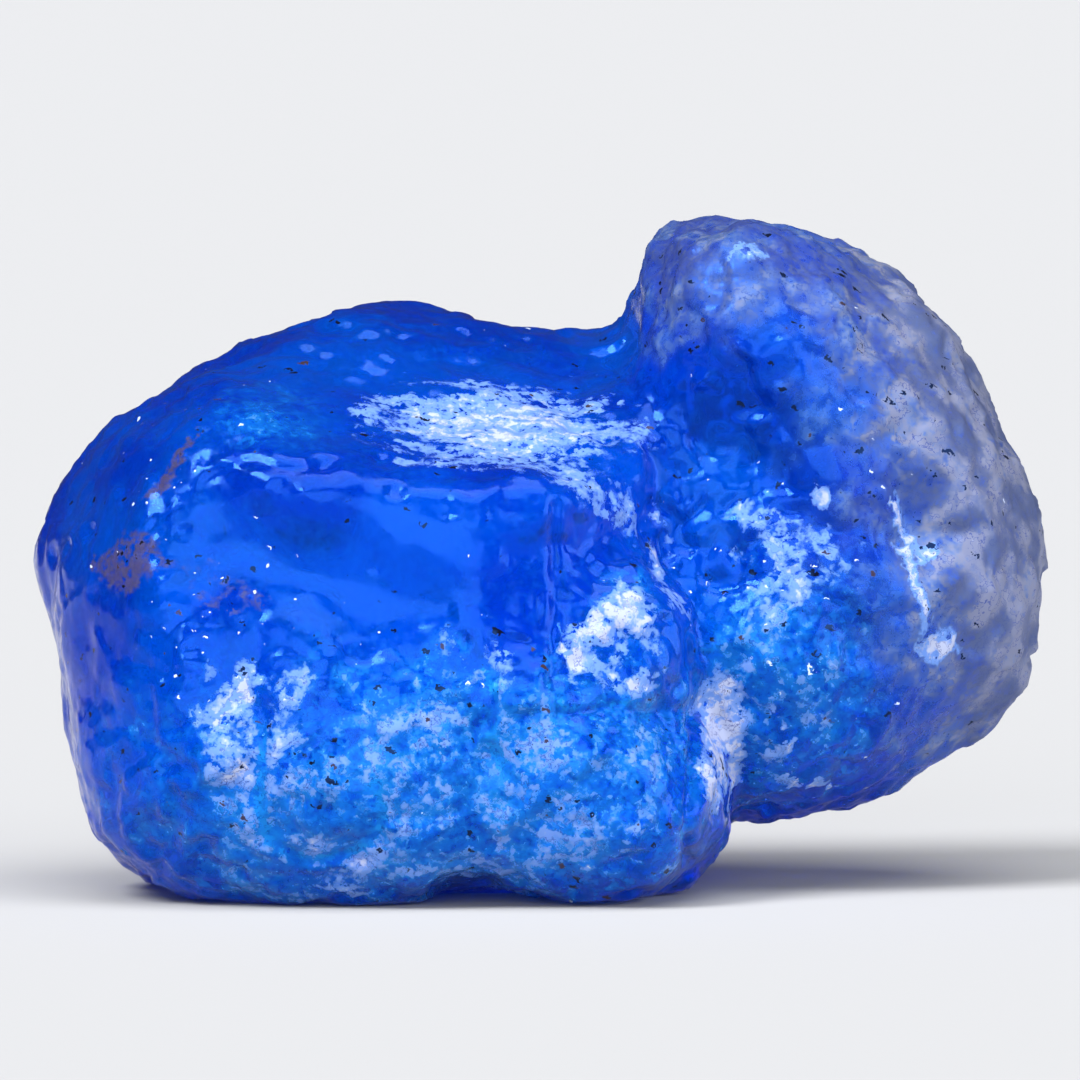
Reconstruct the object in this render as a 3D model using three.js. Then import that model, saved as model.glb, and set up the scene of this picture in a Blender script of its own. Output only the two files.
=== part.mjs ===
// Rough tanzanite: one natural crystal fragment. A thick front block carries a sloping shelf with a low
// ridge behind it, and a taller rounded lobe is grown to its right end and hangs clear of the ground.
// Millimetres. +X runs along the stone to its right, +Y to its back and +Z up; it rests on z = 0.
import * as THREE from "three";
import { ImprovedNoise } from "three/addons/math/ImprovedNoise.js";

// Driving dimensions
const LENGTH = 15;
const HEIGHT = 10;
const MESH_CELL = 0.42;
const EVENING_TURNS = 3;

// Outlines in the front view, as shares of LENGTH from the middle and of HEIGHT from the ground. Each is a
// closed smooth curve. The block's base runs below the ground, which trims it to a flat resting spot.
const BLOCK_OUTLINE = [
  [-0.28, -0.036], [-0.36, -0.004], [-0.413, 0.034], [-0.45, 0.09], [-0.461, 0.155], [-0.476, 0.27],
  [-0.491, 0.38], [-0.5, 0.468], [-0.487, 0.562], [-0.44, 0.68], [-0.387, 0.737], [-0.324, 0.795],
  [-0.265, 0.825], [-0.215, 0.852], [-0.14, 0.884], [-0.1, 0.862], [-0.05, 0.832], [0.018, 0.833],
  [0.097, 0.838], [0.117, 0.708], [0.13, 0.562], [0.15, 0.417], [0.165, 0.3], [0.182, 0.154],
  [0.179, 0.081], [0.162, 0.035], [0.13, -0.008], [0.08, -0.03], [-0.1, -0.036],
];
const LOBE_OUTLINE = [
  [0.02, 0.6], [0.06, 0.73], [0.08, 0.82], [0.086, 0.9], [0.098, 0.96], [0.125, 0.993], [0.19, 1.0],
  [0.25, 0.967], [0.305, 0.93], [0.348, 0.897], [0.391, 0.851], [0.428, 0.778], [0.45, 0.715],
  [0.46, 0.665], [0.474, 0.624], [0.493, 0.533], [0.5, 0.445], [0.493, 0.387], [0.474, 0.315],
  [0.454, 0.262], [0.415, 0.206], [0.375, 0.164], [0.335, 0.13], [0.256, 0.102], [0.187, 0.1],
  [0.09, 0.12], [0.02, 0.22], [-0.01, 0.42],
];
const OUTLINE_STEPS = 180;

// Each form swells from its outline to a front and a back face; rim is how far in it takes to get there
const BLOCK = { outline: BLOCK_OUTLINE, middle: 0, front: 4.15, back: 3.8, rim: 2.3 };
const LOBE = { outline: LOBE_OUTLINE, middle: 0.8, front: 3.1, back: 3.1, rim: 3.1 };

// The shelf is a cleavage plane across the block's upper front, through this point
const SHELF = { point: [-1.5, -3.3, 6.55], normal: [0.13, -0.42, 0.9], edge: 0.3 };

// Swellings added to the block, each an ellipsoid: centre, half sizes, and how softly it blends in
const SWELLINGS = [
  { at: [-2.15, 1.2, 7.1], half: [1.7, 1.9, 1.52], blend: 0.45 },
  { at: [0.3, 1.3, 6.8], half: [2.2, 1.8, 1.3], blend: 0.4 },
  { at: [-2.3, -2.55, 1.95], half: [4.0, 1.95, 1.75], blend: 1.6 },
  { at: [1.1, -2.95, 3.9], half: [1.0, 1.25, 1.0], blend: 0.5 },
  { at: [0.85, -2.6, 1.5], half: [1.55, 1.85, 1.35], blend: 0.6 },
];
const LOBE_SWELLINGS = [
  { at: [3.2, -0.6, 8.1], half: [1.7, 1.6, 1.7], blend: 0.7 },
  { at: [3.6, -1.0, 3.6], half: [1.6, 1.6, 1.9], blend: 0.7 },
];
const LOBE_SEAM = 0.35;

// Hollows and pits, each an ellipsoid taken away: the arch under the front, the notch above the seam,
// and the larger etch pits on every side
const HOLLOWS = [
  { at: [-0.95, -3.6, 0.0], half: [0.95, 1.9, 0.42], edge: 0.2 },
  { at: [2.75, -2.75, 6.75], half: [1.0, 0.85, 1.3], edge: 0.35 },
  { at: [5.6, -2.3, 5.6], half: [0.75, 0.8, 0.9], edge: 0.3 },
  { at: [-4.4, 3.9, 5.6], half: [1.3, 0.75, 1.0], edge: 0.3 },
  { at: [0.6, 4.0, 2.9], half: [1.1, 0.8, 1.4], edge: 0.3 },
  { at: [4.2, 4.1, 6.2], half: [1.2, 0.7, 1.0], edge: 0.3 },
];

// Flat broken faces on the hidden sides
const BREAKS = [
  { point: [-3.0, 3.35, 4.0], normal: [-0.28, 0.93, 0.24], edge: 0.35 },
  { point: [3.6, 3.35, 5.0], normal: [0.3, 0.95, -0.05], edge: 0.35 },
  { point: [-6.9, 0.5, 3.0], normal: [-0.9, 0.35, -0.25], edge: 0.3 },
];

// A shallow step runs up the front face where one growth layer ends
const STEP = { x: 0.25, width: 0.3, depth: 0.16 };

// Uneven growth over the whole skin, as octaves of noise: size of a lump and how far it stands out
const LUMPS = [
  { size: 2.1, height: 0.2 },
  { size: 0.95, height: 0.09 },
];

const noise = new ImprovedNoise();
const vector = (values) => new THREE.Vector3(...values);
const clamp01 = (t) => Math.min(1, Math.max(0, t));
const smoothStep = (t) => clamp01(t) ** 2 * (3 - 2 * clamp01(t));

// Smooth join and smooth cut of two fields that are negative inside
function softJoin(a, b, blend) {
  const t = clamp01(0.5 + (0.5 * (b - a)) / blend);
  return THREE.MathUtils.lerp(b, a, t) - blend * t * (1 - t);
}
const softCut = (a, b, blend) => -softJoin(-a, -b, blend);

// How far a point of the front view lies inside a closed outline, negative outside
function insideOutline(shares) {
  const corners = shares.map(([x, z]) => new THREE.Vector3(x * LENGTH, z * HEIGHT, 0));
  const ring = new THREE.CatmullRomCurve3(corners, true, "centripetal").getPoints(OUTLINE_STEPS);
  return (x, z) => {
    let nearest = Infinity;
    let inside = false;
    for (let i = 0; i < OUTLINE_STEPS; i++) {
      const a = ring[i];
      const b = ring[i + 1];
      const along = new THREE.Vector2(b.x - a.x, b.y - a.y);
      const t = clamp01(((x - a.x) * along.x + (z - a.y) * along.y) / along.lengthSq());
      nearest = Math.min(nearest, Math.hypot(x - a.x - t * along.x, z - a.y - t * along.y));
      if (a.y > z !== b.y > z && x < a.x + (along.x * (z - a.y)) / along.y) inside = !inside;
    }
    return inside ? nearest : -nearest;
  };
}

// A solid swelling from its outline, with an elliptical rim
function pillow({ outline, middle, front, back, rim }) {
  const inside = insideOutline(outline);
  return (p, recess = 0) => {
    const toRim = Math.max(0, (rim - inside(p.x, p.z)) / rim);
    const depth = p.y < middle ? front - recess : back;
    return (Math.hypot(toRim, (p.y - middle) / depth) - 1) * Math.min(rim, depth);
  };
}

function ellipsoid({ at, half }) {
  const centre = vector(at);
  const size = vector(half);
  return (p) => {
    const q = p.clone().sub(centre).divide(size);
    const reach = q.length();
    return reach === 0 ? -Math.min(...half) : (reach * (reach - 1)) / q.divide(size).length();
  };
}

function plane({ point, normal }) {
  const out = vector(normal).normalize();
  const offset = out.dot(vector(point));
  return (p) => out.dot(p) - offset;
}

const withField = (make) => (item) => ({ ...item, field: make(item) });
const block = pillow(BLOCK);
const lobe = pillow(LOBE);
const shelf = plane(SHELF);
const swellings = SWELLINGS.map(withField(ellipsoid));
const lobeSwellings = LOBE_SWELLINGS.map(withField(ellipsoid));
const hollows = HOLLOWS.map(withField(ellipsoid));
const breaks = BREAKS.map(withField(plane));

// The stone's field: negative inside, positive outside, zero on its skin
function stone(p) {
  const recess = STEP.depth * smoothStep((p.x - STEP.x) / STEP.width);
  let front = softCut(block(p, recess), shelf(p), SHELF.edge);
  for (const s of swellings) front = softJoin(front, s.field(p), s.blend);
  let side = lobe(p);
  for (const s of lobeSwellings) side = softJoin(side, s.field(p), s.blend);
  let skin = softJoin(front, side, LOBE_SEAM);
  for (const b of breaks) skin = softCut(skin, b.field(p), b.edge);
  for (const h of hollows) skin = softCut(skin, -h.field(p), h.edge);
  for (const { size, height } of LUMPS) skin -= height * noise.noise(p.x / size, p.y / size, p.z / size);
  return Math.max(skin, -p.z);
}

// The field's slope, by central differences
function slope(p) {
  const reach = MESH_CELL / 20;
  const along = (axis) => {
    const step = new THREE.Vector3().setComponent(axis, reach);
    return (stone(p.clone().add(step)) - stone(p.clone().sub(step))) / (2 * reach);
  };
  return new THREE.Vector3(along(0), along(1), along(2));
}

// Moves a point onto the skin
function settle(p) {
  for (let turn = 0; turn < 4; turn++) {
    const g = slope(p);
    p.addScaledVector(g, -THREE.MathUtils.clamp(stone(p) / g.lengthSq(), -MESH_CELL / 2, MESH_CELL / 2));
  }
  if (p.z < MESH_CELL / 8) p.z = 0;
  return p;
}

// Where two diagonal corners of a grid face are inside and the other two outside, the skin would touch
// itself along an edge, so the outside corner nearer to the skin is taken inside
function fillDiagonals(values, strides) {
  const last = values.length - strides[0] - strides[1] - strides[2];
  for (let filled = true; filled; ) {
    filled = false;
    for (let at = 0; at < last; at++)
      for (let axis = 0; axis < 3; axis++) {
        const [u, v] = [strides[axis], strides[(axis + 1) % 3]];
        const corners = [at, at + u, at + u + v, at + v];
        const [a, b, c, d] = corners.map((corner) => values[corner] < 0);
        if (a !== c || b !== d || a === b) continue;
        const outside = corners.filter((corner) => values[corner] >= 0);
        const nearest = values[outside[0]] < values[outside[1]] ? outside[0] : outside[1];
        values[nearest] = -MESH_CELL / 100;
        filled = true;
      }
  }
}

// A closed mesh of the skin: one point in every grid cell that the skin crosses, and one quad across
// every grid edge that it crosses
function skinOf(low, high) {
  const count = high.clone().sub(low).divideScalar(MESH_CELL).ceil().addScalar(1);
  const strides = [1, count.x, count.x * count.y];
  const index = (i, j, k) => i + strides[1] * j + strides[2] * k;
  const corner = (i, j, k) => new THREE.Vector3(i, j, k).multiplyScalar(MESH_CELL).add(low);
  const values = new Float64Array(count.x * count.y * count.z);
  for (let k = 0; k < count.z; k++)
    for (let j = 0; j < count.y; j++)
      for (let i = 0; i < count.x; i++) values[index(i, j, k)] = stone(corner(i, j, k));

  fillDiagonals(values, strides);

  const bits = [0, 1];
  const cellCorners = bits.flatMap((k) => bits.flatMap((j) => bits.map((i) => [i, j, k])));
  const pointOf = new Map();
  const points = [];
  for (let k = 0; k < count.z - 1; k++)
    for (let j = 0; j < count.y - 1; j++)
      for (let i = 0; i < count.x - 1; i++) {
        const crossings = [];
        for (const [a, b, c] of cellCorners)
          for (let axis = 0; axis < 3; axis++) {
            if ([a, b, c][axis]) continue;
            const at = index(i + a, j + b, k + c);
            const [from, to] = [values[at], values[at + strides[axis]]];
            if (from < 0 === to < 0) continue;
            const place = new THREE.Vector3(i + a, j + b, k + c);
            crossings.push(place.setComponent(axis, place.getComponent(axis) + from / (from - to)));
          }
        if (!crossings.length) continue;
        const mean = crossings.reduce((sum, c) => sum.add(c), new THREE.Vector3());
        pointOf.set(index(i, j, k), points.length);
        points.push(settle(mean.multiplyScalar(MESH_CELL / crossings.length).add(low)));
      }

  const quads = [];
  for (const at of pointOf.keys())
    for (let axis = 0; axis < 3; axis++) {
      const [from, to] = [values[at], values[at + strides[axis]]];
      if (from < 0 === to < 0) continue;
      const [u, v] = [strides[(axis + 1) % 3], strides[(axis + 2) % 3]];
      const ring = [at, at - u, at - u - v, at - v].map((cell) => pointOf.get(cell));
      quads.push(from < 0 ? ring : ring.reverse());
    }
  return { points, quads };
}

// Draws each point towards the middle of its neighbours and back onto the skin, which evens the quads
function evenOut({ points, quads }) {
  for (let turn = 0; turn < EVENING_TURNS; turn++) {
    const sums = points.map(() => ({ total: new THREE.Vector3(), count: 0 }));
    for (const quad of quads)
      quad.forEach((corner, i) => {
        sums[corner].total.add(points[quad[(i + 1) % 4]]);
        sums[corner].count += 1;
      });
    points.forEach((p, i) => settle(p.lerp(sums[i].total.divideScalar(sums[i].count), 0.5)));
  }
}

// Cuts each quad in two along its shorter diagonal
function trianglesOf({ points, quads }) {
  return quads.flatMap(([a, b, c, d]) => {
    const cutFromFirst = points[a].distanceTo(points[c]) < points[b].distanceTo(points[d]);
    return cutFromFirst ? [a, b, c, a, c, d] : [a, b, d, b, c, d];
  });
}

function roughStone() {
  const margin = 2 * MESH_CELL;
  const halfLength = LENGTH / 2 + margin;
  const frontReach = BLOCK.front + 1 + margin;
  const backReach = BLOCK.back + 1 + margin;
  const low = new THREE.Vector3(-halfLength, -frontReach, -margin);
  const high = new THREE.Vector3(halfLength, backReach, HEIGHT + margin);
  const mesh = skinOf(low, high);
  evenOut(mesh);
  const skin = new THREE.BufferGeometry().setFromPoints(mesh.points).setIndex(trianglesOf(mesh));
  skin.computeBoundingBox();
  const centre = skin.boundingBox.getCenter(new THREE.Vector3());
  skin.translate(-centre.x, -centre.y, 0);
  skin.computeVertexNormals();
  const material = new THREE.MeshStandardMaterial({ color: 0x0b4fe0, roughness: 0.25, metalness: 0 });
  const body = new THREE.Mesh(skin, material);
  body.name = "rough_tanzanite";
  return body;
}

const part = new THREE.Group();
part.add(roughStone());

export default part;
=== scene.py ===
"""The looks of one rough tanzanite: a see-through deep blue crystal with an etched, partly frosted skin."""

import math

import bpy
import numpy as np
from mathutils import Matrix, Vector, noise


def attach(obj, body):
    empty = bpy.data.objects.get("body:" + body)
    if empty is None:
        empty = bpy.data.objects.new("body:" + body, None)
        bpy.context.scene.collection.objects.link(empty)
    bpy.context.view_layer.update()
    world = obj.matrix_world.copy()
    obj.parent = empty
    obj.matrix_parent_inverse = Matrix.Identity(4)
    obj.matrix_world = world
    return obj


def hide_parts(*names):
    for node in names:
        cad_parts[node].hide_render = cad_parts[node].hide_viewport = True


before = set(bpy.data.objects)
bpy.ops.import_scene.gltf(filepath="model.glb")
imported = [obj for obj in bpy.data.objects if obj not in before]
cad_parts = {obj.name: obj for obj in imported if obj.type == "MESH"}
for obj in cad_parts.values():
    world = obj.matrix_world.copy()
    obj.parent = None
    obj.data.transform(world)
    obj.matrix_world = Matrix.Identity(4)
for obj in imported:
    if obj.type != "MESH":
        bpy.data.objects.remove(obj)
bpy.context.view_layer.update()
scene = bpy.context.scene

# Driving values. Lengths on the stone are in millimetres, and MM turns them into Blender's metres.
MM = 0.001
NODE = "rough_tanzanite"
SLOT = "tanzanite"
SEED = 7
MIDDLE = 0.5

# The skin's fine mesh: size of its cells, rounds of softening over all and in the creases, and their share
SKIN_CELL = 0.08
SKIN_SOFTENING = 30
CREASE_SOFTENING = 250
SOFTENING_SHARE = 0.5

VIEW_TARGET = (-0.02, 0.0, 5.18)
VIEW_DISTANCE = 160
VIEW_ELEVATION = 3
VIEW_WIDTH = 16.04
VIEW_NEAR = 1

# Soft lights from far away: azimuth from the front towards +X, elevation, strength and width, in degrees
SUNS = {
    "key": (-45, 48, 2.8, 24),
    "top": (20, 68, 2.2, 50),
    "right": (65, 12, 1.8, 45),
    "front": (-5, 8, 1.9, 50),
}
SKY = {"colour": (0.93, 0.96, 1.0, 1), "strength": 0.05}
FLOOR = {"colour": (0.53, 0.535, 0.55, 1), "half": 20000, "level": -0.01}
LIGHT_PATHS = {
    "max_bounces": 4,
    "transmission_bounces": 4,
    "diffuse_bounces": 1,
    "glossy_bounces": 2,
    "sample_clamp_indirect": 4.0,
    "use_light_tree": False,
}

# Colours of the stone, linear
DEEP_BLUE = (0.0, 0.07, 0.78, 1)
ROYAL_BLUE = (0.0, 0.15, 0.98, 1)
# Pale blue: partly a lighter tone of the crystal, partly painted light from below on the lower parts
PALE_AND_UNDERLIT_BLUE = (0.015, 0.35, 1.0, 1)
VEIN_BLUE = (0.0, 0.03, 0.32, 1)
VIOLET_GREY = (0.125, 0.155, 0.29, 1)
CLOUD_GREY = (0.31, 0.33, 0.45, 1)
# Frost colours: partly real frosting, partly painted highlight on the shelf band and the step face
FROST_AND_HIGHLIGHT_LILAC = (0.22, 0.42, 0.96, 1)
FROST_AND_HIGHLIGHT_WHITE = (0.72, 0.79, 1.0, 1)
RUST = (0.2, 0.18, 0.36, 1)
DARK_SPECK = (0.004, 0.004, 0.012, 1)
BROWN_SPECK = (0.045, 0.025, 0.025, 1)
# Painted highlight: colour of small white flecks painted where points of reflected light would be
PAINTED_GLINT = (0.65, 0.75, 0.95, 1)
SHINE = (0.06, 0.27, 1.0, 1)
INSIDE = {"Color": (0.02, 0.55, 0.97, 1), "Density": 330}
REFRACTION = 1.69

# Where the skin differs, in the front view: middle (x, z), half sizes, turn in degrees and strength
# Frost patches: partly real etched frost, partly painted highlight; the shelf band and the bright step face
# are painted highlights
FROST_AND_HIGHLIGHT_PATCHES = [
    # painted highlight: the lavender-white band along the shelf
    ((-0.6, 6.95), (2.5, 0.72), -3, 1.0),
    ((1.0, 5.95), (1.1, 0.5), -35, 0.9),
    ((1.85, 4.75), (0.3, 1.0), 20, 0.9),
    ((1.2, 3.85), (0.85, 0.85), 0, 1.5),
    # painted highlight: the bright white step face
    ((2.62, 2.35), (0.45, 1.1), 0, 1.5),
    ((-4.1, 2.6), (1.3, 1.2), 0, 0.85),
    ((-2.3, 2.75), (1.1, 0.45), 0, 0.6),
    ((-0.8, 3.5), (1.0, 0.9), 0, 0.5),
    ((1.4, 1.2), (0.9, 0.9), 0, 0.55),
    ((-3.2, 0.6), (1.2, 0.6), -25, 0.7),
    ((-0.9, 0.85), (0.9, 0.6), 0, 0.65),
    ((3.6, 2.5), (0.8, 1.1), 20, 0.6),
    ((3.3, 4.9), (1.4, 1.5), 0, 0.62),
    ((3.75, 4.65), (0.35, 0.55), 0, 1.0),
    ((3.05, 5.6), (0.2, 0.4), 25, 1.0),
    ((4.1, 5.85), (0.25, 0.2), 0, 1.0),
    ((5.88, 3.65), (0.4, 0.3), 0, 1.0),
    ((2.95, 9.5), (0.35, 0.2), 0, 0.8),
]
# Pale patches: partly lighter crystal, partly painted light from below lightening the lower front and lower
# lobe
PALE_AND_UNDERLIT_PATCHES = [
    ((-1.5, 1.7), (5.6, 2.4), 0, 0.9),
    ((-3.9, 7.05), (1.15, 0.6), 0, 0.5),
    ((1.2, 2.6), (1.1, 2.9), 0, 0.8),
    ((3.6, 3.2), (1.8, 2.4), 0, 0.75),
]
RUST_PATCHES = [
    ((-6.0, 5.0), (0.6, 0.45), 0, 0.9),
    ((-4.7, 4.6), (1.1, 0.5), -20, 0.5),
]
SMOOTH_PATCHES = [
    ((-3.0, 5.0), (3.6, 1.9), 0, 0.9),
    ((-3.8, 7.05), (1.4, 0.8), 0, 0.8),
    ((-1.5, 8.4), (3.6, 0.8), 0, 0.3),
    ((-6.9, 4.0), (1.3, 3.6), 0, 0.6),
]
CREASED_PATCHES = [
    ((2.7, 7.5), (1.8, 1.3), -50, 1.0),
    ((1.2, 3.85), (1.4, 1.2), 0, 1.0),
]
# Painted highlights: where the painted white highlight flecks cluster
PAINTED_GLINT_PATCHES = [
    ((-4.3, 4.2), (2.0, 1.4), 0, 1.0),
    ((-5.6, 5.8), (1.0, 1.4), 0, 0.8),
    ((3.5, 4.5), (2.6, 3.0), 0, 0.6),
]

# Where a patch begins and ends to fade, as shares of its half sizes, and how ragged each kind's rim is
PATCH_RIM = (0.3, 1.3)
RAGGEDNESS = {"frost": 0.5, "pale": 0.25, "rust": 0.5, "painted_glint_share": 0.3}

# How far a face may turn away from the front before the patterns of the hidden sides take over
SEEN = (-0.5, -0.1)

# The lobe clouds over towards its right rim, beyond a slanting line, and more thinly on its top
RIM_HAZE = {"x": 5.8, "z": 2, "lean": 0.23, "width": 1.8, "mottle": 0.7, "strength": 1.0}
TOP_HAZE = {"x": 0.9, "z": 7.4, "width": 1.6, "fade": 1, "mottle": 0.8, "strength": 0.6}

# Lines across the front: points (x, z), width and height, which is below zero for a groove
GROOVES = [
    ([(0.2, 5.9), (0.22, 4.6), (0.18, 3.4), (0.25, 2.85)], 0.06, -0.1),
    ([(0.25, 2.85), (0.9, 2.95), (1.6, 2.85), (2.05, 2.85)], 0.07, -0.09),
    ([(2.2, 4.0), (2.2, 3.0), (2.22, 2.0), (2.15, 0.6)], 0.08, -0.14),
    ([(-4.07, 3.2), (-4.05, 2.4), (-4.1, 1.7), (-4.0, 1.1), (-3.4, 0.7)], 0.05, -0.08),
    ([(-4.9, 6.9), (-4.4, 6.55), (-3.6, 6.4), (-3.0, 6.5)], 0.06, -0.05),
    ([(-2.4, 1.9), (-2.3, 1.3), (-2.7, 0.8), (-3.2, 0.75)], 0.05, -0.05),
    ([(-1.2, 4.0), (-0.7, 3.4), (-0.75, 2.6), (-0.5, 2.0)], 0.05, -0.05),
    ([(1.75, 5.3), (1.9, 4.8), (2.3, 4.3), (2.4, 3.6)], 0.07, -0.1),
]
STREAKS = [
    ([(5.0, 6.2), (5.1, 5.7), (5.3, 5.2), (5.35, 4.8), (5.6, 4.3), (5.75, 3.8), (5.95, 3.6)], 0.11, 0.03),
    ([(5.6, 5.55), (5.45, 5.25), (5.6, 4.95), (5.85, 5.1)], 0.09, 0.02),
    ([(3.3, 2.9), (3.6, 2.3), (3.75, 1.75), (4.2, 1.5)], 0.12, 0.02),
    # the white shards along these two step-face streaks are painted highlight
    ([(2.45, 3.1), (2.5, 2.4), (2.45, 1.6)], 0.09, 0.02),
    ([(2.75, 3.0), (2.8, 2.3), (2.75, 1.7)], 0.09, 0.02),
]
RUST_STREAK = {
    "corners": [(-4.95, 6.95), (-5.45, 6.25), (-5.7, 5.9), (-6.1, 5.3), (-6.4, 4.8)],
    "width": 0.13,
    "gaps": (-0.4, 0.3),
}

# Smooth noise of several sizes: size, a shift that keeps it apart from the others, and share
MOTTLE = [(0.6, 21.0, 1.0), (0.27, 33.0, 0.6), (0.14, 35.0, 0.4)]
SHELF_STREAKS = [(0.3, 23.0, 1.0), (0.15, 37.0, 0.8)]

# Patterns all over the skin: size and shift of the noise, share of the mottle, where it begins and is full
SCATTERED = {
    "frost": (1.7, 40.0, 0.45, 0.0, 0.6),
    "pale": (2.4, 50.0, 0.5, -0.3, 0.6),
    "clouds": (0.5, 55.0, 0.6, -0.7, 0.8),
    "tone": (1.6, 60.0, 0.3, -0.5, 0.5),
    # Painted highlights: the scattered share of painted white highlight flecks
    "painted_glint_share": (1.3, 65.0, 0.0, -0.5, 0.5),
}

# Relief of the skin: size, shift and height of each kind
LUMPS = [(1.0, 0.0, 0.1), (0.48, 11.3, 0.05), (0.23, 22.6, 0.025)]
FACETS = [(0.8, 0.0, 0.18), (0.34, 17.3, 0.09)]
FACET_DRAWS = {"tilt": 57, "chance": 83}
BEND = {"size": 0.45, "reach": 0.14}
CUPS = {"size": 0.2, "shift": 13.7, "depth": 0.025}
SHELF = {
    "patch": ((-0.5, 7.05), (3.0, 0.95), 0, 1.0),
    "normal": (0.13, -0.42, 0.9),
    "facing": (0.8, 0.95),
    "stretch": 7.0,
    "height": 0.014,
    # painted highlight: the shelf's frost, least and along its streaks, stands in for its sheen
    "frost": (0.85, 0.45),
}
SWIRL = {
    "at": (-3.0, 1.2),
    "half": (1.1, 1.0),
    "spacing": 0.24,
    "height": 0.015,
    "wobble": 0.25,
    "noise": (0.9, 5.7),
}
PITS = {"count": 500, "radius": (0.06, 0.28), "mostly small": 3, "depth": 0.3, "rim": (0.2, 1.0)}

# How frost (partly painted highlight) and pale areas (partly painted light from below) follow the facets,
# and how strong frost is beside the patches and streaks
FROST_FACETS = {"least": 0.3, "large": 0.75, "small": 0.6}
PALE_FACETS = {"least": 0.55, "large": 0.4, "small": 0.4}
FROST_LIMITS = {"hidden": 0.8, "on pale": 0.6, "most": 1.2, "lost in grooves": 0.8}
SHARDS = {"mottle": 0.25, "gaps": (0.25, 0.55), "width": 1.3, "strength": 1.1}
# Painted highlights: share of painted white highlight flecks away from their clusters
PAINTED_GLINTS_ELSEWHERE = 0.15

# Fine grain and small cells of the material, to a millimetre
GRAIN = {"Scale": 8.0, "Detail": 2.0, "Roughness": 0.6}
CELLS = {"crooked": (0.35, 0.25, -0.3), "stretch": (0.7, 1.0, 1.0), "scale": 6.5}
FLECKS_OF_CELLS = 0.28
FLECKS_OF_TONE = 1.2

# How the flecks break each marking up: their share, and where it begins and is full
BROKEN = {
    "lilac": (2.2, 0.35, 0.65),
    "white": (2.2, 0.75, 1.25),
    "haze": (1.1, 0.0, 1.0),
    "pale": (1.6, 0.1, 0.9),
    "rust": (2.6, 0.4, 0.9),
}
VEINS = {"width": 0.03, "gaps": (0.35, 0.55), "everywhere": 0.35, "on pale": 0.45}
# Dark and brown specks are inclusions; the white flecks sized and shared here are painted highlights
SPECKS = {
    "dark size": 0.38,
    "glint size": 0.24,
    "ragged": 0.7,
    "edge": 0.08,
    "dark everywhere": 0.14,
    "dark on pale": 0.2,
    "rust against pale": 2.0,
    "not brown": 0.88,
    "painted_glints": -0.35,
}
CLEAR = {"deep": 0.72, "milky": 0.36, "pale is milky": 0.7}
ROUGHNESS = {"grain": (0.3, 0.7), "clear": (0.08, 0.26), "soft": 0.5}


def smooth_step(low, high, value):
    t = np.clip((value - low) / (high - low), 0.0, 1.0)
    return t * t * (3 - 2 * t)


def lumpy(points, size, shift):
    """Smooth noise from about -1 to 1 at each point, with lumps of about that size."""
    return np.array([noise.noise(place) for place in (points / size + shift).tolist()])


def mixed(points, parts):
    """Smooth noise of several sizes."""
    return sum(share * lumpy(points, size, shift) for size, shift, share in parts)


def cupped(points, size, shift):
    """0 in the middle of scattered cells of about that size, rising to sharp ridges between them."""
    return np.array([noise.voronoi(place)[0][0] for place in (points / size + shift).tolist()])


def facets(points, size, shift):
    """Broken facets of about that size: each point's height on its tilted facet, and a chance per facet."""
    heights = []
    chances = []
    level = Vector((MIDDLE, MIDDLE, MIDDLE))
    for place in (points / size + shift).tolist():
        middle = noise.voronoi(place)[1][0]
        tilt = noise.cell_vector(middle * FACET_DRAWS["tilt"]) - level
        heights.append(tilt.dot(Vector(place) - middle))
        chances.append(MIDDLE + MIDDLE * noise.cell(middle * FACET_DRAWS["chance"]))
    return np.array(heights), np.array(chances)


def bent(points):
    """Each point moved a little, to make straight edges irregular, and by the same amount each run."""
    noise.seed_set(SEED)
    ways = np.array([noise.noise_vector(place) for place in (points / BEND["size"]).tolist()])
    return points + BEND["reach"] * ways


def patch(points, at, half, turn, ragged=0.0):
    """1 in the middle of an ellipse of the front view, falling to 0 around its rim."""
    angle = math.radians(turn)
    across, up = points[:, 0] - at[0], points[:, 2] - at[1]
    along = (across * math.cos(angle) + up * math.sin(angle)) / half[0]
    over = (up * math.cos(angle) - across * math.sin(angle)) / half[1]
    return 1 - smooth_step(*PATCH_RIM, np.hypot(along, over) + ragged)


def patches(points, spots, ragged=0.0):
    strongest = np.zeros(len(points))
    for at, half, turn, strength in spots:
        strongest = np.maximum(strongest, strength * patch(points, at, half, turn, ragged))
    return strongest


def line(points, corners, width):
    """1 along a line of the front view, falling to 0 beside it."""
    flat = points[:, [0, 2]]
    nearest = np.full(len(points), np.inf)
    for start, end in zip(np.array(corners[:-1]), np.array(corners[1:])):
        way = end - start
        share = np.clip((flat - start) @ way / (way @ way), 0.0, 1.0)
        nearest = np.minimum(nearest, np.linalg.norm(flat - start - share[:, None] * way, axis=1))
    return np.exp(-((nearest / width) ** 2))


def coordinates(mesh):
    points = np.empty(3 * len(mesh.vertices), np.float32)
    mesh.vertices.foreach_get("co", points)
    return points.reshape(-1, 3).astype(float)


def normals_of(mesh):
    normals = np.empty(3 * len(mesh.vertices), np.float32)
    mesh.vertex_normals.foreach_get("vector", normals)
    return normals.reshape(-1, 3).astype(float)


def softened(mesh, values):
    """Each point's value, moved part of the way to the mean of its neighbours."""
    ends = np.empty(2 * len(mesh.edges), np.int32)
    mesh.edges.foreach_get("vertices", ends)
    start, end = ends.reshape(-1, 2).T
    total = np.bincount(start, values[end], len(values)) + np.bincount(end, values[start], len(values))
    kept = (1 - SOFTENING_SHARE) * values
    return kept + SOFTENING_SHARE * total / np.bincount(ends, minlength=len(values))


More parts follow.
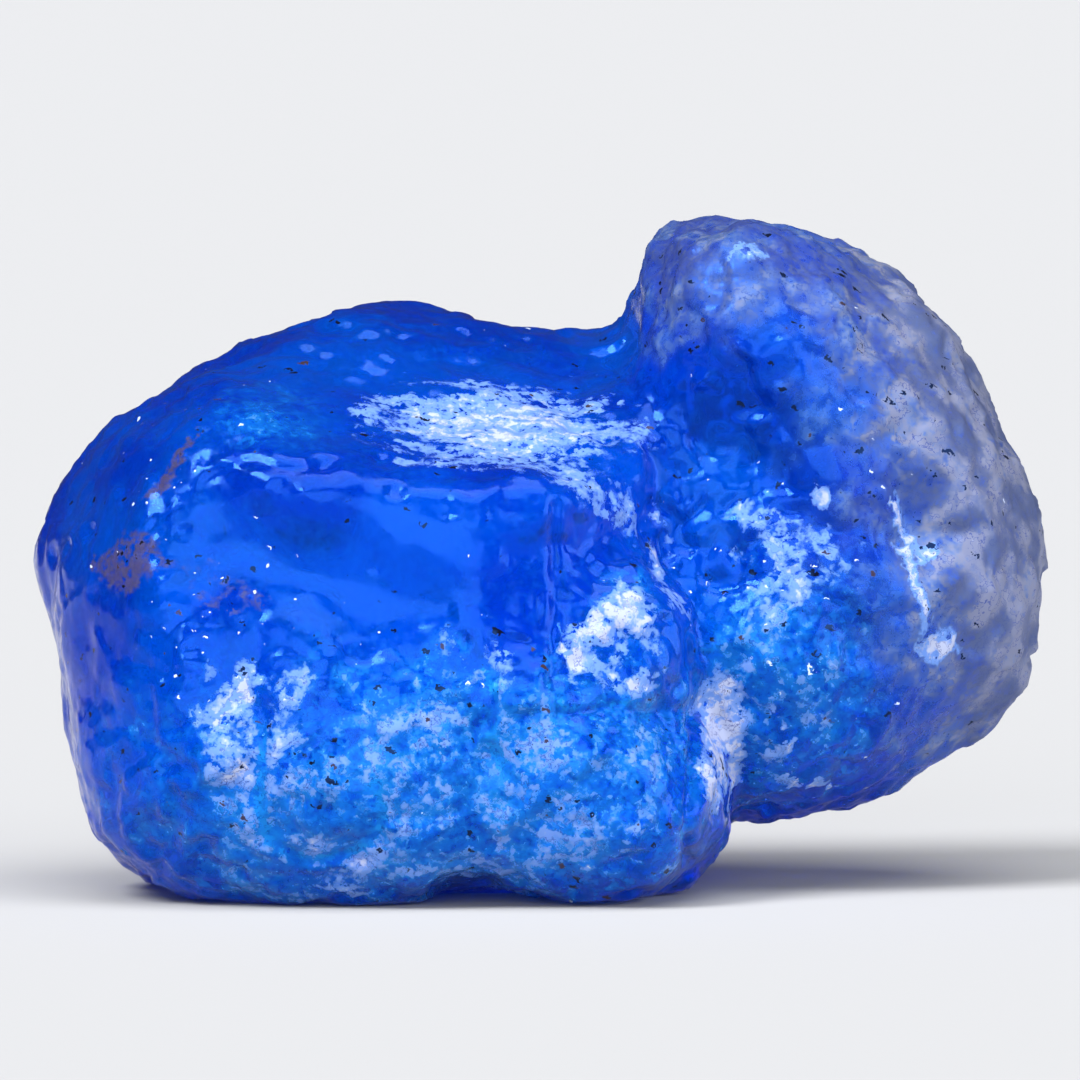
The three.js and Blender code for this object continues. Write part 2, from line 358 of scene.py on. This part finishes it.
def smoothed(piece, iterations):
    modifier = piece.modifiers.new("smoothed", "SMOOTH")
    modifier.factor = SOFTENING_SHARE
    modifier.iterations = iterations
    return modifier


def settle(piece):
    """Makes the piece's modifiers part of its mesh."""
    evaluated = piece.evaluated_get(bpy.context.evaluated_depsgraph_get())
    settled = bpy.data.meshes.new_from_object(evaluated)
    piece.modifiers.clear()
    piece.data = settled


def fine_skin(node):
    """A fine, even and softened copy of the solid's skin, in millimetres, with some creases blended away."""
    coarse = node.data.copy()
    coarse.transform(Matrix.Scale(1 / MM, 4))
    piece = bpy.data.objects.new(SLOT, coarse)
    scene.collection.objects.link(piece)
    remesh = piece.modifiers.new("even cells", "REMESH")
    remesh.mode = "VOXEL"
    remesh.voxel_size = SKIN_CELL
    smoothed(piece, SKIN_SOFTENING)
    settle(piece)

    facing = normals_of(piece.data)[:, 1] < 0
    share = facing * patches(coordinates(piece.data), CREASED_PATCHES)
    creased = piece.vertex_groups.new(name="creased")
    for index in np.nonzero(share)[0].tolist():
        creased.add([index], share[index], "REPLACE")
    smoothed(piece, CREASE_SOFTENING).vertex_group = creased.name
    settle(piece)
    piece.vertex_groups.clear()
    return piece


class Skin:
    """The relief and the markings of the stone's skin, at the points of its softened solid."""

    def __init__(self, points, normals):
        self.points = points
        self.front = smooth_step(*SEEN, -normals[:, 1])
        shelf = np.array(SHELF["normal"]) / np.linalg.norm(SHELF["normal"])
        self.level = smooth_step(*SHELF["facing"], normals @ shelf) * patches(points, [SHELF["patch"]])
        self.rough = 1 - patches(points, SMOOTH_PATCHES)
        self.streaks = mixed(points * (1 / SHELF["stretch"], 1.0, 1.0), SHELF_STREAKS)
        self.mottle = (1 - self.level) * mixed(points, MOTTLE) + self.level * self.streaks
        self.bent = bent(points)
        self.facets = [facets(self.bent, size, shift) for size, shift, _ in FACETS]

    def relief(self):
        """How far each point of the skin stands out of the softened solid."""
        points = self.points
        height = SHELF["height"] * self.level * self.streaks
        for size, shift, tall in LUMPS:
            height += self.rough * tall * lumpy(points, size, shift)
        etched = self.rough * (1 - self.level)
        for (lean, _), (_, _, tall) in zip(self.facets, FACETS):
            height += etched * tall * lean
        height += etched * CUPS["depth"] * (cupped(self.bent, CUPS["size"], CUPS["shift"]) - MIDDLE)

        for corners, width, tall in GROOVES + STREAKS:
            height += self.front * tall * line(points, corners, width)

        away = np.hypot(points[:, 0] - SWIRL["at"][0], points[:, 2] - SWIRL["at"][1])
        away += SWIRL["wobble"] * lumpy(points, *SWIRL["noise"])
        fade = self.front * patch(points, SWIRL["at"], SWIRL["half"], 0)
        height += fade * SWIRL["height"] * np.sin(2 * math.pi * away / SWIRL["spacing"])

        random = np.random.default_rng(SEED)
        low, high = PITS["radius"]
        for place in points[random.integers(0, len(points), PITS["count"])]:
            radius = low + (high - low) * random.random() ** PITS["mostly small"]
            reach = np.linalg.norm(points - place, axis=1) / radius
            height -= PITS["depth"] * radius * (1 - smooth_step(*PITS["rim"], reach))
        return height

    def scattered(self, pattern):
        """A pattern all over the skin, from 0 to 1."""
        size, shift, mottle, low, high = SCATTERED[pattern]
        return smooth_step(low, high, lumpy(self.points, size, shift) + mottle * self.mottle)

    def placed(self, kind, spots):
        """Patches of the front view with ragged rims."""
        return patches(self.points, spots, RAGGEDNESS[kind] * self.mottle)

    def by_facet(self, shares):
        """A strength for each facet, by its chances."""
        (_, large), (_, small) = self.facets
        return shares["least"] + shares["large"] * large + shares["small"] * (small - MIDDLE)

    # Frost, partly real etching and partly painted highlight: the shelf band, the step face and its streaks
    # are painted highlights
    def frost(self):
        # On the shelf the frost is painted highlight, streaked along the shelf
        least, streaky = SHELF["frost"]
        on_shelf = least + streaky * self.streaks
        broken = (1 - self.level) * self.by_facet(FROST_FACETS) + self.level * on_shelf
        hidden = (1 - self.front) * FROST_LIMITS["hidden"] * self.scattered("frost")
        frost = broken * (self.front * self.placed("frost", FROST_AND_HIGHLIGHT_PATCHES) + hidden)
        frost = np.clip(frost, FROST_LIMITS["on pale"] * self.crystal_pale(), FROST_LIMITS["most"])
        for corners, width, _ in GROOVES:
            frost -= FROST_LIMITS["lost in grooves"] * self.front * line(self.points, corners, width)

        # White shards along the streaks; on the step face they are painted highlight
        _, chance = self.facets[-1]
        shards = smooth_step(*SHARDS["gaps"], chance + SHARDS["mottle"] * self.mottle)
        shards *= SHARDS["strength"] * self.front
        for corners, width, _ in STREAKS:
            frost = np.maximum(frost, shards * line(self.bent, corners, SHARDS["width"] * width))
        return frost

    def haze(self):
        across, up = self.points[:, 0], self.points[:, 2]
        leaning = across + RIM_HAZE["lean"] * (up - RIM_HAZE["z"])
        beyond = leaning - RIM_HAZE["x"] + RIM_HAZE["mottle"] * self.mottle
        rim = RIM_HAZE["strength"] * smooth_step(-RIM_HAZE["width"], RIM_HAZE["width"], beyond)
        above = up - TOP_HAZE["z"] + TOP_HAZE["mottle"] * self.mottle
        top = TOP_HAZE["strength"] * smooth_step(0, TOP_HAZE["fade"], across - TOP_HAZE["x"])
        return np.maximum(rim, top * smooth_step(0, TOP_HAZE["width"], above))

    def crystal_pale(self):
        """Pale areas of the blue crystal, partly a lighter tone and partly painted light from below on the
        lower front, without the clouds in its haze.
        """
        hidden = (1 - self.front) * self.scattered("pale")
        return (self.front * self.placed("pale", PALE_AND_UNDERLIT_PATCHES) + hidden) * self.by_facet(PALE_FACETS)

    def pale(self):
        return np.maximum(self.crystal_pale(), self.haze() * self.scattered("clouds"))

    def rust(self):
        streak = line(self.points, RUST_STREAK["corners"], RUST_STREAK["width"])
        streak *= smooth_step(*RUST_STREAK["gaps"], self.mottle)
        return self.front * np.maximum(streak, self.placed("rust", RUST_PATCHES))

    # Painted highlights: where white highlight flecks are painted, thickest in their clusters
    def painted_glint_share(self):
        clusters = self.front * self.placed("painted_glint_share", PAINTED_GLINT_PATCHES)
        return np.maximum(PAINTED_GLINTS_ELSEWHERE * self.scattered("painted_glint_share"), clusters)

    def markings(self):
        """Each marking's strength at each point, in two sets of three."""
        return {
            # first set: frost (partly painted highlight), haze and pale (partly painted light from below)
            "skin": np.stack([self.frost(), self.haze(), self.pale()], axis=1),
            # second set: rust, tone and the share of painted white highlight flecks
            "tint": np.stack([self.rust(), self.scattered("tone"), self.painted_glint_share()], axis=1)}


def rough_stone():
    piece = fine_skin(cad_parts[NODE])
    mesh = piece.data
    points, normals = coordinates(mesh), normals_of(mesh)
    skin = Skin(points, normals)
    moved = points + normals * softened(mesh, skin.relief())[:, None]
    resting = points[:, 2] < SKIN_CELL
    moved[resting, 2] = points[resting, 2]
    moved[:, 2] = np.maximum(moved[:, 2], 0.0)
    mesh.vertices.foreach_set("co", moved.astype(np.float32).ravel())
    for name, values in skin.markings().items():
        attribute = mesh.attributes.new(name, "FLOAT_VECTOR", "POINT")
        attribute.data.foreach_set("vector", values.astype(np.float32).ravel())
    mesh.transform(Matrix.Scale(MM, 4))
    mesh.polygons.foreach_set("use_smooth", np.ones(len(mesh.polygons), bool))
    mesh.materials.clear()
    mesh.materials.append(tanzanite())
    mesh.update()
    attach(piece, "root")
    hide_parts(NODE)


class Shader:
    """Builds a material's nodes. A value is a number, a colour or another node's output."""

    def __init__(self, name):
        self.material = bpy.data.materials.new(name)
        self.material.use_nodes = True
        self.tree = self.material.node_tree
        self.tree.nodes.clear()

    def node(self, kind, inputs=None, **settings):
        made = self.tree.nodes.new(kind)
        for name, value in settings.items():
            setattr(made, name, value)
        for key, value in (inputs or {}).items():
            if isinstance(value, bpy.types.NodeSocket):
                self.tree.links.new(value, made.inputs[key])
            else:
                made.inputs[key].default_value = value
        return made

    def math(self, operation, a, b=0.0, c=0.0):
        return self.node("ShaderNodeMath", {0: a, 1: b, 2: c}, operation=operation).outputs[0]

    def vector(self, operation, a, b):
        return self.node("ShaderNodeVectorMath", {0: a, 1: b}, operation=operation).outputs[0]

    def step(self, value, low, high, start=0.0, end=1.0):
        inputs = {"Value": value, "From Min": low, "From Max": high, "To Min": start, "To Max": end}
        return self.node("ShaderNodeMapRange", inputs, interpolation_type="SMOOTHSTEP").outputs[0]

    def mix(self, share, a, b):
        return self.node("ShaderNodeMix", {0: share, 2: a, 3: b}).outputs[0]

    def tint(self, share, a, b):
        return self.node("ShaderNodeMix", {0: share, 6: a, 7: b}, data_type="RGBA").outputs[2]

    def marking(self, name):
        """The three strengths of a set of markings."""
        stored = self.node("ShaderNodeAttribute", attribute_name=name).outputs["Vector"]
        return self.node("ShaderNodeSeparateXYZ", {0: stored}).outputs

    def cells(self, place, scale):
        """Scattered cells, about that many to a millimetre: distance from the middle and three chances."""
        made = self.node("ShaderNodeTexVoronoi", {"Vector": place, "Scale": scale})
        chances = self.node("ShaderNodeSeparateColor", {0: made.outputs["Color"]})
        return made.outputs["Distance"], chances.outputs[0], chances.outputs[1], chances.outputs[2]


def tanzanite():
    """Deep blue crystal: clear where it is polished by nature, frosted lilac-white where it is etched; the
    frost on the shelf band and step face is painted highlight, with painted white highlight flecks and
    painted light from below in the pale lower parts.
    """
    shader = Shader(SLOT)
    metres = shader.node("ShaderNodeTexCoord").outputs["Object"]
    place = shader.vector("MULTIPLY", metres, (1 / MM, 1 / MM, 1 / MM))
    fine = shader.node("ShaderNodeTexNoise", {"Vector": place, **GRAIN}).outputs["Fac"]
    crooked = shader.vector("ADD", place, shader.vector("MULTIPLY", fine, CELLS["crooked"]))
    stretched = shader.vector("MULTIPLY", crooked, CELLS["stretch"])
    distance, chance, size, shade = shader.cells(stretched, CELLS["scale"])
    # frost is partly painted highlight, pale partly painted light from below
    frost_and_highlight_mask, haze_mask, pale_and_underlit_mask = shader.marking("skin")
    # the second set: rust, tone and the share of painted white highlight flecks
    rust_mask, tone, painted_glint_share = shader.marking("tint")
    grit = shader.math("SUBTRACT", fine, MIDDLE)
    flecks = shader.math("MULTIPLY_ADD", shader.math("SUBTRACT", shade, MIDDLE), FLECKS_OF_CELLS, grit)

    def broken(kind, mask):
        """A marking of the skin, broken up by the flecks."""
        share, low, high = BROKEN[kind]
        flecked = shader.math("MULTIPLY_ADD", flecks, share, 1.0)
        return shader.step(shader.math("MULTIPLY", mask, flecked), low, high)

    lilac = broken("lilac", frost_and_highlight_mask)
    white = broken("white", frost_and_highlight_mask)
    haze = broken("haze", haze_mask)
    pale = broken("pale", pale_and_underlit_mask)
    rust = broken("rust", rust_mask)

    colour = shader.tint(shader.math("MULTIPLY_ADD", flecks, FLECKS_OF_TONE, tone), DEEP_BLUE, ROYAL_BLUE)
    # Pale blue, partly painted light from below on the lower parts
    colour = shader.tint(pale, colour, PALE_AND_UNDERLIT_BLUE)
    colour = shader.tint(haze, colour, shader.tint(pale, VIOLET_GREY, CLOUD_GREY))
    colour = shader.tint(rust, colour, RUST)
    # Lilac and white frost, partly painted highlight on the shelf band and step face
    colour = shader.tint(lilac, colour, FROST_AND_HIGHLIGHT_LILAC)
    colour = shader.tint(white, colour, FROST_AND_HIGHLIGHT_WHITE)

    contour = shader.step(shader.math("ABSOLUTE", grit), 0.0, VEINS["width"], 1.0, 0.0)
    vein = shader.math("MULTIPLY", contour, shader.step(shade, *VEINS["gaps"]))
    depth = shader.math("MULTIPLY_ADD", pale, VEINS["on pale"], VEINS["everywhere"])
    colour = shader.tint(shader.math("MULTIPLY", vein, depth), colour, VEIN_BLUE)

    def specks(reach):
        """1 in the middle of each small cell, with a ragged edge."""
        edge = shader.math("SUBTRACT", shader.math("MULTIPLY", size, reach), distance)
        return shader.step(shader.math("MULTIPLY_ADD", grit, SPECKS["ragged"], edge), 0.0, SPECKS["edge"])

    marked = shader.math("ADD", pale, shader.math("MULTIPLY", rust_mask, SPECKS["rust against pale"]))
    speckled = shader.math("MULTIPLY_ADD", marked, SPECKS["dark on pale"], SPECKS["dark everywhere"])
    dark = shader.math("MULTIPLY", specks(SPECKS["dark size"]), shader.math("LESS_THAN", chance, speckled))
    # Painted highlights: white flecks painted into the colour where points of reflected light would be
    dull = shader.math("MULTIPLY_ADD", painted_glint_share, SPECKS["painted_glints"], 1.0)
    painted_glint = shader.math("MULTIPLY", specks(SPECKS["glint size"]), shader.math("GREATER_THAN", chance, dull))
    brown = shader.math("GREATER_THAN", shade, SPECKS["not brown"])
    colour = shader.tint(dark, colour, shader.tint(brown, DARK_SPECK, BROWN_SPECK))
    # the painted white highlight flecks go on last
    colour = shader.tint(painted_glint, colour, PAINTED_GLINT)

    soft = shader.math("MAXIMUM", lilac, haze)
    milky = shader.math("MAXIMUM", soft, shader.math("MULTIPLY", pale, CLEAR["pale is milky"]))
    unspecked = shader.math("SUBTRACT", 1.0, shader.math("MAXIMUM", dark, painted_glint))
    clear = shader.math("MULTIPLY", shader.mix(milky, CLEAR["deep"], CLEAR["milky"]), unspecked)
    polished = shader.step(fine, *ROUGHNESS["grain"], *ROUGHNESS["clear"])
    surface = shader.node("ShaderNodeBsdfPrincipled", {
        "Base Color": colour,
        "Roughness": shader.mix(soft, polished, ROUGHNESS["soft"]),
        "Transmission Weight": clear,
        "IOR": REFRACTION,
        "Specular Tint": SHINE})
    inside = shader.node("ShaderNodeVolumeAbsorption", INSIDE)
    shader.node("ShaderNodeOutputMaterial", {"Surface": surface.outputs[0], "Volume": inside.outputs[0]})
    return shader.material


def floor():
    half = FLOOR["half"] * MM
    level = FLOOR["level"] * MM
    mesh = bpy.data.meshes.new("floor")
    corners = [(-half, -half, level), (half, -half, level), (half, half, level), (-half, half, level)]
    mesh.from_pydata(corners, [], [(0, 1, 2, 3)])
    piece = bpy.data.objects.new("floor", mesh)
    scene.collection.objects.link(piece)
    shader = Shader("floor")
    surface = shader.node("ShaderNodeBsdfDiffuse", {"Color": FLOOR["colour"]})
    shader.node("ShaderNodeOutputMaterial", {"Surface": surface.outputs[0]})
    mesh.materials.append(shader.material)


def direction(azimuth, elevation):
    """From the stone towards a place at that azimuth, from the front towards +X, and that elevation."""
    turn, rise = math.radians(azimuth), math.radians(elevation)
    return Vector((math.sin(turn) * math.cos(rise), -math.cos(turn) * math.cos(rise), math.sin(rise)))


def studio():
    world = bpy.data.worlds.new("studio")
    world.use_nodes = True
    background = world.node_tree.nodes["Background"]
    background.inputs["Color"].default_value = SKY["colour"]
    background.inputs["Strength"].default_value = SKY["strength"]
    scene.world = world
    for name, (azimuth, elevation, strength, width) in SUNS.items():
        light = bpy.data.lights.new(name, "SUN")
        light.energy = strength
        light.angle = math.radians(width)
        lamp = bpy.data.objects.new(name, light)
        lamp.rotation_euler = direction(azimuth, elevation).to_track_quat("Z", "Y").to_euler()
        scene.collection.objects.link(lamp)
    scene.view_settings.view_transform = "Standard"
    for name, value in LIGHT_PATHS.items():
        setattr(scene.cycles, name, value)


def camera():
    lens = bpy.data.cameras.new("camera")
    lens.lens = lens.sensor_width * VIEW_DISTANCE / VIEW_WIDTH
    lens.clip_start = VIEW_NEAR * MM
    eye = bpy.data.objects.new("camera", lens)
    back = direction(0, VIEW_ELEVATION)
    eye.location = (Vector(VIEW_TARGET) + back * VIEW_DISTANCE) * MM
    eye.rotation_euler = (-back).to_track_quat("-Z", "Y").to_euler()
    scene.collection.objects.link(eye)
    scene.camera = eye


camera()
floor()
studio()
rough_stone()

bpy.context.view_layer.update()
